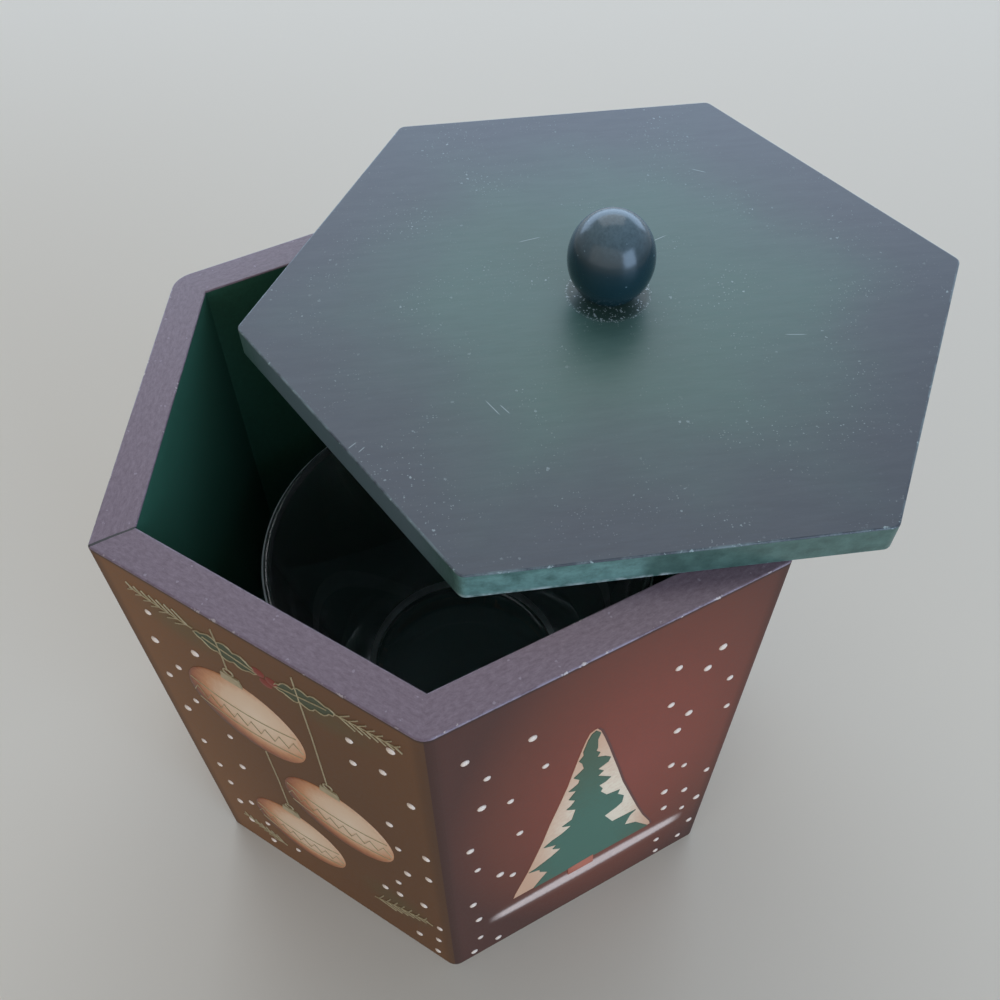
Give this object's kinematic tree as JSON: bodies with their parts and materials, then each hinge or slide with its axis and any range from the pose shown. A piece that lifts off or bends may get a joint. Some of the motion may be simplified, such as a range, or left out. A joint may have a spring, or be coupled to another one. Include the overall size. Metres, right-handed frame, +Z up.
{
  "type": "lidded wooden box",
  "caption": "Hexagonal painted wooden box with a loose flat lid, a ball knob and a removable glass liner, for holding sweets or a candle.",
  "frame": {"origin": "middle of the underside, on the base board's lower face", "axes": "+Z up out of the box mouth, -Y out of the front board"},
  "size_m": [0.1905, 0.1556, 0.1632],
  "materials": {
    "painted_wood_plum": "satin paint",
    "painted_wood_brown": "satin paint",
    "painted_wood_dark_green": "satin paint",
    "painted_wood_green": "matt paint",
    "lacquered_wood_slate": "satin lacquer",
    "steel": "zinc plated",
    "clear_glass": "clear"
  },
  "bodies": {
    "box": {"side_board_front": "painted_wood_plum", "side_board_front_right": "painted_wood_brown", "side_board_back_right": "painted_wood_plum", "side_board_back": "painted_wood_brown", "side_board_back_left": "painted_wood_plum", "side_board_front_left": "painted_wood_brown", "base_board": "painted_wood_dark_green"},
    "lid": {"lid_board": "painted_wood_green", "knob": "lacquered_wood_slate", "knob_screw": "steel"},
    "liner": {"glass_liner": "clear_glass"}
  },
  "joints": [
    {"name": "lid_lift", "type": "slide", "parent": "box", "child": "lid", "axis": [0, 0, 1], "range_m": [0, 0.15]},
    {"name": "liner_lift", "type": "slide", "parent": "box", "child": "liner", "axis": [0, 0, 1], "range_m": [0, 0.048]}
  ]
}
